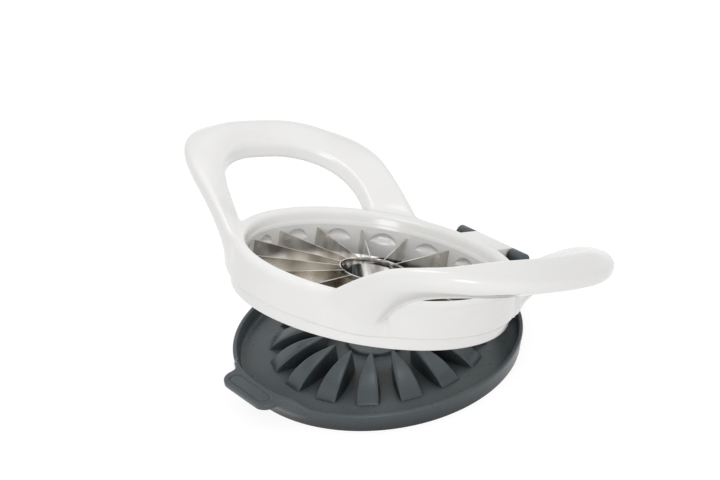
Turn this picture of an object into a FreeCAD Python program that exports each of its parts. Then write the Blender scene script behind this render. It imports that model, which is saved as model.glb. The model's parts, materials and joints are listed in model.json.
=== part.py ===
"""Hinged apple slicer and corer: a bladed frame with two loop handles on a fingered base.

The origin is the middle of the base's underside. X runs along the handles, -Y is the side of the
pull tab, +Y the side of the hinge, and Z is up. The head is drawn level, with its own zero at the
underside of the lower ring, and is then swung open about the hinge pin to its rest angle.
"""
import FreeCAD, Part
import math
import os

import Sketcher
from FreeCAD import Placement, Rotation, Vector

# Driving dimensions in millimetres, degrees and counts
DIMENSIONS = {
    # Ring of the frame
    "wall_radius": 57.1,
    "wall_draft": 0.2,
    "frame_height": 18.9,
    "ring_thickness": 5.4,
    "funnel_taper": 1.44,
    "throat_height": 12.2,
    "outer_round": 2.2,
    "inner_round": 1.3,
    "groove_web": 0.84,
    "groove_width": 1.4,
    "groove_depth": 5.2,
    "groove_gap": 0.05,
    "scallop_radius": 7.8,
    "scallop_height": 2.8,
    "scallop_depth": 2.1,
    # Lower ring
    "lower_height": 4.8,
    "lower_draft": 0.3,
    "parting_step": 1.4,
    "foot_chamfer": 0.5,
    # Handles
    "handle_length": 40.7,
    "handle_side_inset": 8.6,
    "handle_grip_arc": 118.0,
    "handle_grip_flat": 6.5,
    "grip_width": 17.4,
    "leg_width": 14.5,
    "loop_grip_arc": 90.0,
    "loop_grip_flat": 11.5,
    "crown_height": 47.5,
    "crown_run": 5.7,
    "handle_thickness": 9.2,
    "handle_root": 0.5,
    "handle_root_top": 18.76,
    "handle_root_bottom": 8.33,
    "handle_round": 1.8,
    # Blades and coring ring
    "blade_count": 16,
    "blade_thickness": 0.5,
    "blade_top": 11.0,
    "blade_bottom": 1.4,
    "blade_lug": 2.9,
    "lug_seat": 0.8,
    "blade_gap": 0.02,
    "blade_wall_gap": 0.1,
    "bevel_width": 0.2,
    "bevel_height": 1.4,
    "core_radius": 13.97,
    "core_wall": 0.6,
    "core_slot_depth": 4.8,
    "core_bevel_width": 0.4,
    "core_bevel_height": 0.8,
    # Hinge and rest pose
    "open_angle": 18.68,
    "closed_gap": 0.3,
    "hinge_clearance": 4.06,
    "hinge_drop": 3.69,
    "pin_radius": 1.5,
    "pin_running_gap": 0.05,
    "pin_seat_gap": 0.02,
    "pin_inset": 0.5,
    "knuckle_radius": 3.0,
    "knuckle_length": 8.0,
    "knuckle_gap": 0.35,
    "barrel_length": 22.0,
    "ear_corner": 3.0,
    # Base
    "rim_overhang": 0.9,
    "rim_height": 7.8,
    "rim_round": 0.5,
    "base_draft": 1.3,
    "nest_gap": 0.9,
    "tray_draft": 0.8,
    "floor_height": 2.4,
    "finger_toe_clearance": 6.46,
    "finger_toe_width": 8.8,
    "finger_toe_height": 3.6,
    "finger_mid_run": 10.3,
    "finger_mid_width": 6.9,
    "finger_mid_height": 7.4,
    "finger_tip_clearance": 6.93,
    "finger_tip_width": 0.6,
    "finger_tip_height": 11.1,
    "boss_gap": 0.97,
    "boss_height": 4.8,
    # Pull tab
    "tab_gap": 0.6,
    "tab_wall": 1.6,
    "tab_wall_drop": 3.2,
    "tab_wall_half_width": 17.0,
    "tab_wall_slope": 9.0,
    "tab_rise": 3.9,
    "tab_thickness": 2.4,
    "tab_half_width": 14.5,
    "tab_length": 8.7,
    "tab_corner": 5.0,
    "tab_mark_half_length": 11.6,
    "tab_mark_radius": 2.7,
    "tab_mark_inset": 4.4,
    "tab_mark_width": 0.5,
    "tab_mark_depth": 0.4,
    # How far a cutting outline runs past the stock
    "cut_overrun": 1.0,
}

# Shared formulas over the sheet
PITCH = "(360 / dims.blade_count)"
HALF_PITCH = "(180 / dims.blade_count)"
WALL_FOOT = "(dims.wall_radius - dims.wall_draft)"
LIP = "(dims.wall_radius - dims.ring_thickness)"
THROAT = f"({LIP} - dims.funnel_taper)"
LUG_RADIUS = f"({THROAT} + dims.blade_lug)"
LUG_BOTTOM = "(dims.lower_height - dims.lug_seat)"
SLOT_HALF = "(dims.blade_thickness / 2 + dims.blade_gap)"
GROOVE_INNER = f"({LUG_RADIUS} + dims.groove_web)"
GROOVE_OUTER = f"({GROOVE_INNER} + dims.groove_width)"
GROOVE_TOP = "(dims.lower_height + dims.groove_depth)"
LOWER_RADIUS = f"({WALL_FOOT} - dims.parting_step)"
CORE_INNER = "(dims.core_radius - dims.core_wall)"
HANDLE_REACH = "(dims.wall_radius + dims.handle_length)"
HANDLE_HALF = "(dims.wall_radius - dims.handle_side_inset)"
THROUGH = f"(2 * {HANDLE_REACH})"
RIM_RADIUS = "(dims.wall_radius + dims.rim_overhang)"
RIM_INNER = f"({LOWER_RADIUS} + dims.nest_gap)"
FINGER_TOE = f"({THROAT} - dims.finger_toe_clearance)"
TAB_INNER = "(dims.wall_radius + dims.tab_gap)"
TAB_TOP = "(dims.rim_height + dims.tab_rise)"
CLOSED_LIFT = "(dims.rim_height + dims.closed_gap - dims.lower_height)"
HINGE_BACK = "(dims.wall_radius + dims.hinge_clearance + dims.knuckle_radius)"
AXIS_ON_HEAD = "(dims.frame_height - dims.hinge_drop)"
AXIS_ON_BASE = f"({AXIS_ON_HEAD} + {CLOSED_LIFT})"
PIN_HALF = "(dims.barrel_length / 2 + dims.knuckle_gap + dims.knuckle_length - dims.pin_inset)"

# Points nearer than this count as one
TOUCH = 0.01

doc = FreeCAD.newDocument("apple_slicer")
dims = doc.addObject("Spreadsheet::Sheet", "dims")
for row, (alias, number) in enumerate(DIMENSIONS.items(), start=1):
    dims.set(f"A{row}", alias)
    dims.set(f"B{row}", str(number))
    dims.setAlias(f"B{row}", alias)
doc.recompute()


def value(expression):
    """Read a formula over the sheet as a number."""
    return float(dims.evalExpression(expression))


def origin_plane(body, role):
    """Find one of a body's own origin planes."""
    return next(item for item in body.Origin.OriginFeatures if item.Role == role)


def new_body(name):
    """Add an empty body."""
    return doc.addObject("PartDesign::Body", name)


def new_sketch(body, name, role, lift="0", turn="0"):
    """Add a sketch on an origin plane, lifted along its normal and turned about it."""
    sketch = body.newObject("Sketcher::SketchObject", name)
    sketch.AttachmentSupport = [(origin_plane(body, role), "")]
    sketch.MapMode = "FlatFace"
    offset = Vector(0, 0, value(lift))
    sketch.AttachmentOffset = Placement(offset, Rotation(Vector(0, 0, 1), value(turn)))
    sketch.setExpression("AttachmentOffset.Base.z", lift)
    return sketch


def bind(sketch, constraint, formula):
    """Add one dimensional constraint and tie it to a formula."""
    index = sketch.addConstraint(constraint)
    name = f"size_{index}"
    sketch.renameConstraint(index, name)
    sketch.setExpression(f"Constraints.{name}", formula)


def arc_between(start, end, radius):
    """Make an arc that turns anticlockwise from start to end for a positive radius."""
    chord = end - start
    height = math.sqrt(max(radius * radius - chord.Length ** 2 / 4, 0.0))
    side = Vector(-chord.y, chord.x, 0).normalize()
    centre = (start + end) / 2 + side * math.copysign(height, radius)
    first, last = (start, end) if radius > 0 else (end, start)
    angles = [math.atan2(point.y - centre.y, point.x - centre.x) for point in (first, last)]
    circle = Part.Circle(centre, Vector(0, 0, 1), abs(radius))
    return Part.ArcOfCircle(circle, angles[0], angles[1])


def outline(sketch, corners):
    """Draw a closed outline and pin every corner to formulas.

    A corner is (x, y) before a straight side, or (x, y, radius) before an arc, where a leading
    minus sign on the radius bends it clockwise.
    """
    points = [Vector(value(corner[0]), value(corner[1]), 0) for corner in corners]
    sides = []
    for index, corner in enumerate(corners):
        start = points[index]
        end = points[(index + 1) % len(points)]
        if len(corner) == 3:
            bend = -1 if corner[2].startswith("-") else 1
            radius = corner[2].lstrip("-")
            side = sketch.addGeometry(arc_between(start, end, bend * value(radius)), False)
            ends = (1, 2) if bend > 0 else (2, 1)
            sides.append((side, ends, radius))
        else:
            side = sketch.addGeometry(Part.LineSegment(start, end), False)
            sides.append((side, (1, 2), None))
    for index, (side, ends, _) in enumerate(sides):
        next_side, next_ends, _ = sides[(index + 1) % len(sides)]
        joint = Sketcher.Constraint("Coincident", side, ends[1], next_side, next_ends[0])
        sketch.addConstraint(joint)
    for (side, ends, radius), corner, point in zip(sides, corners, points):
        bind(sketch, Sketcher.Constraint("DistanceX", -1, 1, side, ends[0], point.x), corner[0])
        bind(sketch, Sketcher.Constraint("DistanceY", -1, 1, side, ends[0], point.y), corner[1])
        if radius:
            bind(sketch, Sketcher.Constraint("Radius", side, value(radius)), radius)


def circle(sketch, across, along, radius):
    """Draw a circle whose centre and radius are formulas."""
    centre = Vector(value(across), value(along), 0)
    item = sketch.addGeometry(Part.Circle(centre, Vector(0, 0, 1), value(radius)), False)
    bind(sketch, Sketcher.Constraint("DistanceX", -1, 1, item, 3, centre.x), across)
    bind(sketch, Sketcher.Constraint("DistanceY", -1, 1, item, 3, centre.y), along)
    bind(sketch, Sketcher.Constraint("Radius", item, value(radius)), radius)


def box_corners(left, right, low, high):
    """List the corners of an upright rectangle, anticlockwise."""
    return [(left, low), (right, low), (right, high), (left, high)]


def slot_corners(inner, outer):
    """List the corners of a blade slot that runs out along the radius."""
    return box_corners(inner, outer, f"-{SLOT_HALF}", SLOT_HALF)


def feature(body, kind, name, profile, **bound):
    """Add a sketch-based feature and tie its sizes to formulas."""
    item = body.newObject(f"PartDesign::{kind}", name)
    item.Profile = profile
    for prop, formula in bound.items():
        item.setExpression(prop, formula)
    return item


def revolve(body, name, sketch, angle="360"):
    """Turn a profile about the upright axis, evenly to both sides."""
    item = feature(body, "Revolution", name, sketch, Angle=angle)
    item.ReferenceAxis = (sketch, ["V_Axis"])
    item.Midplane = True
    return item


def pad(body, name, sketch, length, symmetric=False):
    """Raise a sketch along its normal."""
    item = feature(body, "Pad", name, sketch, Length=length)
    if symmetric:
        item.SideType = "Symmetric"
    return item


def pocket(body, name, sketch, length, reverse=False, symmetric=False):
    """Cut a sketch into the body and confirm that it removes material."""
    doc.recompute()
    before = body.Shape.Volume
    item = feature(body, "Pocket", name, sketch, Length=length)
    item.Reversed = reverse
    if symmetric:
        item.SideType = "Symmetric"
    doc.recompute()
    if body.Shape.Volume >= before:
        raise RuntimeError(f"{name} cuts nothing")
    return item


def around(body, name, originals, axis_sketch):
    """Repeat features once per blade about the upright axis."""
    item = body.newObject("PartDesign::PolarPattern", name)
    item.Originals = originals
    item.Axis = (axis_sketch, ["N_Axis"])
    item.Angle = 360
    item.setExpression("Occurrences", "dims.blade_count")
    body.Tip = item
    return item


def loop_outline(sketch, reach, half_width, grip, flat):
    """Draw a D outline: two straight legs, two corner arcs and a shallow grip arc."""
    corner = f"({half_width} - {flat})"
    grip_x = f"({reach} - {grip})"
    corner_x = f"({grip_x} + sqrt(({grip} - {corner})^2 - {flat}^2))"
    stretch = f"({grip} / ({grip} - {corner}))"
    touch_x = f"({grip_x} + ({corner_x} - {grip_x}) * {stretch})"
    touch_y = f"({flat} * {stretch})"
    outline(sketch, [
        ("dims.cut_overrun", f"-{half_width}"),
        (corner_x, f"-{half_width}", corner),
        (touch_x, f"-{touch_y}", grip),
        (touch_x, touch_y, corner),
        (corner_x, half_width),
        ("dims.cut_overrun", half_width),
    ])


def build_ring():
    """Frame ring: a wall with a rounded rim, a funnel mouth, scallops and blade slots."""
    body = new_body("frame_ring")
    profile = new_sketch(body, "ring_profile", "XZ_Plane")
    outline(profile, [
        (THROAT, "dims.lower_height"),
        (GROOVE_INNER, "dims.lower_height"),
        (GROOVE_INNER, GROOVE_TOP),
        (GROOVE_OUTER, GROOVE_TOP),
        (GROOVE_OUTER, "dims.lower_height"),
        (WALL_FOOT, "dims.lower_height"),
        ("dims.wall_radius", "dims.frame_height - dims.outer_round", "dims.outer_round"),
        ("dims.wall_radius - dims.outer_round", "dims.frame_height"),
        (f"{LIP} + dims.inner_round", "dims.frame_height", "dims.inner_round"),
        (LIP, "dims.frame_height - dims.inner_round"),
        (THROAT, "dims.throat_height"),
    ])
    revolve(body, "ring_turned", profile)
    scallop_plan = new_sketch(body, "scallop_plan", "YZ_Plane", f"{THROAT} + dims.scallop_depth")
    circle(scallop_plan, "0", "dims.scallop_height", "dims.scallop_radius")
    scallop = pocket(body, "scallop", scallop_plan, THROAT)
    slot_plan = new_sketch(body, "slot_plan", "XY_Plane", "dims.lower_height", HALF_PITCH)
    outline(slot_plan, slot_corners(f"{THROAT} - dims.blade_lug", f"{LUG_RADIUS} + dims.blade_gap"))
    slot_height = "dims.blade_top - dims.lower_height + dims.blade_gap"
    slot = pocket(body, "blade_slot", slot_plan, slot_height, reverse=True)
    around(body, "slots_and_scallops", [scallop, slot], slot_plan)
    return body


def is_upright(edge):
    """Tell whether an edge stands straight up."""
    first, last = (vertex.Point for vertex in (edge.Vertexes[0], edge.Vertexes[-1]))
    return math.hypot(last.x - first.x, last.y - first.y) < TOUCH


def free_edges(shape, root_radius):
    """Name the long edges of a handle that stand clear of its root."""
    names = []
    for index, edge in enumerate(shape.Edges, start=1):
        middle = edge.valueAt((edge.FirstParameter + edge.LastParameter) / 2)
        if math.hypot(middle.x, middle.y) > root_radius + TOUCH and not is_upright(edge):
            names.append(f"Edge{index}")
    return names


def build_handle():
    """One handle: a flared shell trimmed to a D, with a finger loop cut through it."""
    body = new_body("handle")
    inner = f"({WALL_FOOT} - dims.handle_root)"
    outer = f"({HANDLE_REACH} + dims.cut_overrun)"
    crown_x = f"({HANDLE_REACH} + dims.crown_run)"
    run = f"({crown_x} - {inner})"

    def flare(crown, root):
        """Give the radius of an arc level at the crown, and its height at the outer end."""
        radius = f"(({run}^2 + ({crown} - {root})^2) / (2 * ({crown} - {root})))"
        height = f"({crown} - {radius} + sqrt({radius}^2 - ({crown_x} - {outer})^2))"
        return radius, height

    under_arc, under_height = flare("(dims.crown_height - dims.handle_thickness)",
                                    "dims.handle_root_bottom")
    upper_arc, upper_height = flare("dims.crown_height", "dims.handle_root_top")
    profile = new_sketch(body, "handle_profile", "XZ_Plane")
    outline(profile, [
        (inner, "dims.handle_root_bottom", f"-{under_arc}"),
        (outer, under_height),
        (outer, upper_height, upper_arc),
        (inner, "dims.handle_root_top"),
    ])
    revolve(body, "handle_shell", profile, "180")
    trim = new_sketch(body, "handle_trim", "XY_Plane")
    outline(trim, box_corners("-dims.cut_overrun", THROUGH, f"-{THROUGH}", THROUGH))
    loop_outline(trim, HANDLE_REACH, HANDLE_HALF, "dims.handle_grip_arc", "dims.handle_grip_flat")
    pocket(body, "handle_outline", trim, THROUGH, symmetric=True)
    loop = new_sketch(body, "loop_trim", "XY_Plane")
    loop_outline(loop, f"({HANDLE_REACH} - dims.grip_width)",
                 f"({HANDLE_HALF} - dims.leg_width)", "dims.loop_grip_arc", "dims.loop_grip_flat")
    tip = pocket(body, "finger_loop", loop, THROUGH, symmetric=True)
    rounded = body.newObject("PartDesign::Fillet", "handle_edges")
    rounded.Base = (tip, free_edges(tip.Shape, value(inner)))
    rounded.setExpression("Radius", "dims.handle_round")
    return body


def build_hinge_barrel():
    """White hinge barrel on a web that stands out from the back of the ring."""
    body = new_body("hinge_barrel")
    side = new_sketch(body, "barrel_side", "YZ_Plane")
    low = f"({AXIS_ON_HEAD} - dims.knuckle_radius)"
    high = f"({AXIS_ON_HEAD} + dims.knuckle_radius)"
    outline(side, [
        (GROOVE_OUTER, low),
        (HINGE_BACK, low, "dims.knuckle_radius"),
        (f"{HINGE_BACK} + dims.knuckle_radius", AXIS_ON_HEAD, "dims.knuckle_radius"),
        (HINGE_BACK, high),
        (GROOVE_OUTER, high),
    ])
    pad(body, "barrel_pad", side, "dims.barrel_length", symmetric=True)
    bore = new_sketch(body, "barrel_bore", "YZ_Plane")
    circle(bore, HINGE_BACK, AXIS_ON_HEAD, "dims.pin_radius + dims.pin_running_gap")
    pocket(body, "pin_way", bore, THROUGH, symmetric=True)
    return body


def build_frame():
    """White frame: ring, two handles and hinge barrel in one moulding."""
    ring = build_ring()
    handle = build_handle()
    barrel = build_hinge_barrel()
    mirrored = doc.addObject("Part::Mirroring", "handle_mirrored")
    mirrored.Source = handle
    mirrored.Normal = Vector(1, 0, 0)
    frame = doc.addObject("Part::MultiFuse", "slicer_frame")
    frame.Shapes = [ring, handle, mirrored, barrel]
    return frame


def build_retaining_ring():
    """White lower ring with a tongue for the frame's groove and seats for the blade lugs."""
    body = new_body("retaining_ring")
    profile = new_sketch(body, "lower_profile", "XZ_Plane")
    foot = f"({LOWER_RADIUS} - dims.lower_draft)"
    tongue_in = f"({GROOVE_INNER} + dims.groove_gap)"
    tongue_out = f"({GROOVE_OUTER} - dims.groove_gap)"
    tongue_top = f"({GROOVE_TOP} - dims.groove_gap)"
    outline(profile, [
        (THROAT, "0"),
        (f"{foot} - dims.foot_chamfer", "0"),
        (foot, "dims.foot_chamfer"),
        (LOWER_RADIUS, "dims.lower_height"),
        (tongue_out, "dims.lower_height"),
        (tongue_out, tongue_top),
        (tongue_in, tongue_top),
        (tongue_in, "dims.lower_height"),
        (THROAT, "dims.lower_height"),
    ])
    revolve(body, "lower_turned", profile)
    seat_plan = new_sketch(body, "seat_plan", "XY_Plane", LUG_BOTTOM, HALF_PITCH)
    outline(seat_plan, slot_corners(f"{THROAT} - dims.blade_lug", f"{LUG_RADIUS} + dims.blade_gap"))
    seat = pocket(body, "lug_seat", seat_plan, "dims.lug_seat", reverse=True)
    around(body, "lug_seats", [seat], seat_plan)
    return body


def build_core():
    """Steel coring ring, slotted from above for the blades and bevelled below."""
    body = new_body("core_ring")
    profile = new_sketch(body, "core_profile", "XZ_Plane")
    outline(profile, [
        (CORE_INNER, "dims.blade_bottom"),
        ("dims.core_radius - dims.core_bevel_width", "dims.blade_bottom"),
        ("dims.core_radius", "dims.blade_bottom + dims.core_bevel_height"),
        ("dims.core_radius", "dims.blade_top"),
        (CORE_INNER, "dims.blade_top"),
    ])
    revolve(body, "core_turned", profile)
    slot_foot = "dims.blade_top - dims.core_slot_depth"
    slot_plan = new_sketch(body, "core_slot_plan", "XY_Plane", slot_foot, HALF_PITCH)
    outline(slot_plan, slot_corners(f"{CORE_INNER} - dims.core_wall", "dims.core_radius + dims.core_wall"))
    slot = pocket(body, "core_slot", slot_plan, "dims.core_slot_depth", reverse=True)
    around(body, "core_slots", [slot], slot_plan)
    return body


def build_blade(number):
    """One straight blade: tongue in the coring ring, lug in the frame, edge bevelled below."""
    body = new_body(f"blade_{number:02d}")
    face = new_sketch(body, f"blade_face_{number:02d}", "XZ_Plane")
    inner_foot = "(dims.core_radius + dims.blade_gap)"
    outer_foot = f"({THROAT} - dims.blade_wall_gap)"
    tongue = "(dims.blade_top - dims.core_slot_depth + dims.blade_gap)"
    lug_bottom = f"({LUG_BOTTOM} + dims.blade_gap)"
    outline(face, [
        (inner_foot, "dims.blade_bottom"),
        (outer_foot, "dims.blade_bottom"),
        (outer_foot, lug_bottom),
        (LUG_RADIUS, lug_bottom),
        (LUG_RADIUS, "dims.blade_top"),
        (CORE_INNER, "dims.blade_top"),
        (CORE_INNER, tongue),
        (inner_foot, tongue),
    ])
    pad(body, f"blade_sheet_{number:02d}", face, "dims.blade_thickness", symmetric=True)
    bevel_plan = new_sketch(body, f"bevel_plan_{number:02d}", "YZ_Plane")
    for hand in ("", "-"):
        flank = f"{hand}(dims.blade_thickness / 2)"
        corners = [
            (f"{hand}(dims.blade_thickness / 2 - dims.bevel_width)", "dims.blade_bottom"),
            (flank, "dims.blade_bottom"),
            (flank, "dims.blade_bottom + dims.bevel_height"),
        ]
        outline(bevel_plan, corners[::-1] if hand else corners)
    pocket(body, f"bevels_{number:02d}", bevel_plan, LUG_RADIUS, reverse=True)
    return body


def finger_section(body, name, radius, width, height):
    """One upright cross-section of a pusher finger, sunk a little into the floor."""
    section = new_sketch(body, name, "YZ_Plane", radius)
    outline(section, box_corners(f"-{width} / 2", f"{width} / 2", "dims.floor_height / 2", height))
    return section


def build_base():
    """Grey base: rimmed tray with pusher fingers, centre boss, pull tab and hinge ears."""
    body = new_body("base_tray")
    profile = new_sketch(body, "tray_profile", "XZ_Plane")
    foot = f"({RIM_RADIUS} - dims.base_draft)"
    outline(profile, [
        ("0", "0"),
        (f"{foot} - dims.rim_round", "0"),
        (foot, "dims.rim_round"),
        (RIM_RADIUS, "dims.rim_height - dims.rim_round", "dims.rim_round"),
        (f"{RIM_RADIUS} - dims.rim_round", "dims.rim_height"),
        (RIM_INNER, "dims.rim_height"),
        (f"{RIM_INNER} - dims.tray_draft", "dims.floor_height"),
        ("0", "dims.floor_height"),
    ])
    revolve(body, "tray_turned", profile)
    toe = finger_section(body, "finger_toe", FINGER_TOE,
                         "dims.finger_toe_width", "dims.finger_toe_height")
    middle = finger_section(body, "finger_middle", f"{FINGER_TOE} - dims.finger_mid_run",
                            "dims.finger_mid_width", "dims.finger_mid_height")
    tip = finger_section(body, "finger_tip", "dims.core_radius + dims.finger_tip_clearance",
                         "dims.finger_tip_width", "dims.finger_tip_height")
    finger = body.newObject("PartDesign::AdditiveLoft", "finger")
    finger.Profile = toe
    finger.Sections = [middle, tip]
    doc.recompute()
    boss_plan = new_sketch(body, "boss_plan", "XY_Plane")
    around(body, "fingers", [finger], boss_plan)
    circle(boss_plan, "0", "0", f"{CORE_INNER} - dims.boss_gap")
    pad(body, "core_boss", boss_plan, "dims.boss_height")
    build_tab(body)
    build_ears(body)
    return body


def build_tab(body):
    """Pull tab on a raised stretch of the rim, with a plain racetrack groove."""
    wall_plan = new_sketch(body, "tab_wall_plan", "XY_Plane", "dims.rim_height - dims.tab_wall_drop")
    half = "(dims.tab_wall_half_width + dims.tab_wall_slope)"
    outer = f"({TAB_INNER} + dims.tab_wall)"
    inner_y = f"-sqrt({TAB_INNER}^2 - {half}^2)"
    outer_y = f"-sqrt({outer}^2 - {half}^2)"
    outline(wall_plan, [
        (f"-{half}", inner_y),
        (f"-{half}", outer_y, outer),
        (half, outer_y),
        (half, inner_y, f"-{TAB_INNER}"),
    ])
    pad(body, "tab_wall", wall_plan, "dims.tab_rise + dims.tab_wall_drop")
    slope_plan = new_sketch(body, "tab_slope_plan", "XZ_Plane", FINGER_TOE)
    above = f"({TAB_TOP} + dims.cut_overrun)"
    for hand in ("", "-"):
        outer_x = f"{hand}({half} + dims.cut_overrun)"
        inner_x = f"{hand}dims.tab_wall_half_width"
        corners = [
            (outer_x, "dims.rim_height"),
            (f"{hand}{half}", "dims.rim_height"),
            (inner_x, TAB_TOP),
            (inner_x, above),
            (outer_x, above),
        ]
        outline(slope_plan, corners if hand else corners[::-1])
    pocket(body, "tab_slopes", slope_plan, RIM_RADIUS, reverse=True)
    under_plan = new_sketch(body, "tab_under_plan", "XY_Plane", f"{TAB_TOP} - dims.tab_thickness")
    reach = f"({TAB_INNER} + dims.tab_length)"
    shoulder = f"-({reach} - dims.tab_corner)"
    back = f"-({TAB_INNER} + dims.tab_wall / 2)"
    outline(under_plan, [
        ("-dims.tab_half_width", back),
        ("-dims.tab_half_width", shoulder, "dims.tab_corner"),
        ("-(dims.tab_half_width - dims.tab_corner)", f"-{reach}"),
        ("dims.tab_half_width - dims.tab_corner", f"-{reach}", "dims.tab_corner"),
        ("dims.tab_half_width", shoulder),
        ("dims.tab_half_width", back),
    ])
    pad(body, "tab_plate", under_plan, "dims.tab_thickness")
    mark_plan = new_sketch(body, "tab_mark_plan", "XY_Plane", TAB_TOP)
    middle = f"({reach} - dims.tab_mark_inset)"
    end = "(dims.tab_mark_half_length - dims.tab_mark_radius)"
    for radius in ("dims.tab_mark_radius", "(dims.tab_mark_radius - dims.tab_mark_width)"):
        low = f"-({middle} + {radius})"
        high = f"-({middle} - {radius})"
        outline(mark_plan, [
            (f"-{end}", low),
            (end, low, radius),
            (f"({end} + {radius})", f"-{middle}", radius),
            (end, high),
            (f"-{end}", high, radius),
            (f"-({end} + {radius})", f"-{middle}", radius),
        ])
    pocket(body, "tab_mark", mark_plan, "dims.tab_mark_depth")


def build_ears(body):
    """Two hinge ears on a foot behind the rim, bored for the pin."""
    foot_plan = new_sketch(body, "ear_foot_plan", "XY_Plane")
    inner_x = "(dims.barrel_length / 2 + dims.knuckle_gap)"
    outer_x = f"({inner_x} + dims.knuckle_length)"
    corner_x = f"({outer_x} - dims.ear_corner)"
    back = f"({HINGE_BACK} + dims.knuckle_radius)"
    corner_y = f"({back} - dims.ear_corner)"
    seat = f"({RIM_INNER} + dims.rim_round)"
    seat_y = f"sqrt({seat}^2 - {outer_x}^2)"
    outline(foot_plan, [
        (outer_x, seat_y),
        (outer_x, corner_y, "dims.ear_corner"),
        (corner_x, back),
        (f"-{corner_x}", back, "dims.ear_corner"),
        (f"-{outer_x}", corner_y),
        (f"-{outer_x}", seat_y, f"-{seat}"),
    ])
    pad(body, "ear_foot", foot_plan, "dims.rim_height")
    side = new_sketch(body, "ear_side", "YZ_Plane", inner_x)
    front = f"({HINGE_BACK} - dims.knuckle_radius)"
    outline(side, [
        (front, "dims.rim_height / 2"),
        (back, "dims.rim_height / 2"),
        (back, AXIS_ON_BASE, "dims.knuckle_radius"),
        (HINGE_BACK, f"{AXIS_ON_BASE} + dims.knuckle_radius", "dims.knuckle_radius"),
        (front, AXIS_ON_BASE),
    ])
    ear = pad(body, "ear", side, "dims.knuckle_length")
    mirrored = body.newObject("PartDesign::Mirrored", "ear_pair")
    mirrored.Originals = [ear]
    mirrored.MirrorPlane = (origin_plane(body, "YZ_Plane"), [""])
    body.Tip = mirrored
    bore = new_sketch(body, "ear_bore", "YZ_Plane")
    circle(bore, HINGE_BACK, AXIS_ON_BASE, "dims.pin_radius + dims.pin_seat_gap")
    pocket(body, "pin_seat", bore, f"2 * {PIN_HALF}", symmetric=True)


def build_pin():
    """Steel hinge pin through both ears and the barrel."""
    pin = doc.addObject("Part::Cylinder", "hinge_pin")
    pin.setExpression("Radius", "dims.pin_radius")
    pin.setExpression("Height", f"2 * {PIN_HALF}")
    start = Vector(-value(PIN_HALF), value(HINGE_BACK), value(AXIS_ON_BASE))
    pin.Placement = Placement(start, Rotation(Vector(0, 1, 0), 90))
    return pin


def place_head(pieces, blades):
    """Swing the head's pieces open about the hinge and spread the blades round it."""
    swing = Rotation(Vector(1, 0, 0), -dims.open_angle)
    axis_on_base = Vector(0, value(HINGE_BACK), value(AXIS_ON_BASE))
    axis_on_head = Vector(0, value(HINGE_BACK), value(AXIS_ON_HEAD))
    pose = Placement(axis_on_base - swing.multVec(axis_on_head), swing)
    for piece in pieces:
        piece.Placement = pose
    for number, blade in enumerate(blades):
        turn = Rotation(Vector(0, 0, 1), value(HALF_PITCH) + number * value(PITCH))
        blade.Placement = pose.multiply(Placement(Vector(), turn))


def check_and_write(pieces):
    """Stop at anything that failed to build, then write one file for each piece."""
    for item in doc.Objects:
        if "Invalid" in item.State or "Error" in item.State:
            raise RuntimeError(f"{item.Name} did not build: {item.State}")
    for piece in pieces:
        if piece.Shape.isNull() or not piece.Shape.isValid():
            raise RuntimeError(f"{piece.Label} has no valid shape")
    os.makedirs("parts", exist_ok=True)
    for piece in pieces:
        piece.Shape.exportStep(f"parts/{piece.Label}.step")
        box = piece.Shape.BoundBox
        print(f"{piece.Label}: {len(piece.Shape.Solids)} solid, {piece.Shape.Volume:.1f} mm3, "
              f"x {box.XMin:.2f} to {box.XMax:.2f}, y {box.YMin:.2f} to {box.YMax:.2f}, "
              f"z {box.ZMin:.2f} to {box.ZMax:.2f}")


def main():
    """Build every piece, seat the head on the hinge, check the result and write it."""
    head = [build_frame(), build_retaining_ring(), build_core()]
    blades = [build_blade(number) for number in range(1, int(dims.blade_count) + 1)]
    base = build_base()
    pin = build_pin()
    doc.recompute()
    place_head(head, blades)
    check_and_write([*head, *blades, base, pin])


main()
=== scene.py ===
"""Looks of a hinged apple slicer: white bladed head, grey fingered base, steel blades and core.

Sizes are in millimetres. The head is drawn level, with its zero at the underside of the lower
ring, and is then swung to the angle at which the frame rests on its hinge.
"""
import json
import logging
import math
from collections.abc import Callable, Sequence
from dataclasses import dataclass
from enum import Enum

import bmesh
import bpy
import numpy as np
from mathutils import Matrix, Quaternion, Vector


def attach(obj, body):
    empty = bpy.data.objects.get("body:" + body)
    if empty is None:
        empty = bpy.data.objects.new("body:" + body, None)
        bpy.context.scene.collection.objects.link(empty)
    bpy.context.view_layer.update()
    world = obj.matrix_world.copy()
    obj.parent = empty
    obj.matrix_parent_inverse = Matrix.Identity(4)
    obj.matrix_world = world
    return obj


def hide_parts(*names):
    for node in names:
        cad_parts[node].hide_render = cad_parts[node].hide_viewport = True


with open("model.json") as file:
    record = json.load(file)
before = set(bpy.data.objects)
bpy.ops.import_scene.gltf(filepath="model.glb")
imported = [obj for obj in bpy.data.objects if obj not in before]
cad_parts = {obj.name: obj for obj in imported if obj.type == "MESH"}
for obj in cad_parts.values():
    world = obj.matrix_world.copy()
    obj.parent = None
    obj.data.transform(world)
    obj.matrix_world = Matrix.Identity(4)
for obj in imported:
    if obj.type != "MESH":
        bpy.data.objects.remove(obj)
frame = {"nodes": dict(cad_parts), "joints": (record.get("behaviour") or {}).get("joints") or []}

LOG = logging.getLogger("apple_slicer")
MM = 0.001
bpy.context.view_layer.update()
HEAD_LIFT = 3.3
MERGE_BELOW = 1e-4
SLIVER_BELOW = 1e-5
CREASE_FROM = 40.0
BEVEL_FROM = 35.0
BUMP_STRENGTH = 0.35
Points = np.ndarray
Field = Callable[[Points, Points, Points], Points]
Pair = tuple[float, float]
Colour = tuple[float, float, float]
Place = tuple[float, float, float]
Material = bpy.types.Material
Mesh = bpy.types.Mesh
Node = bpy.types.Node
Piece = bpy.types.Object
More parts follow.
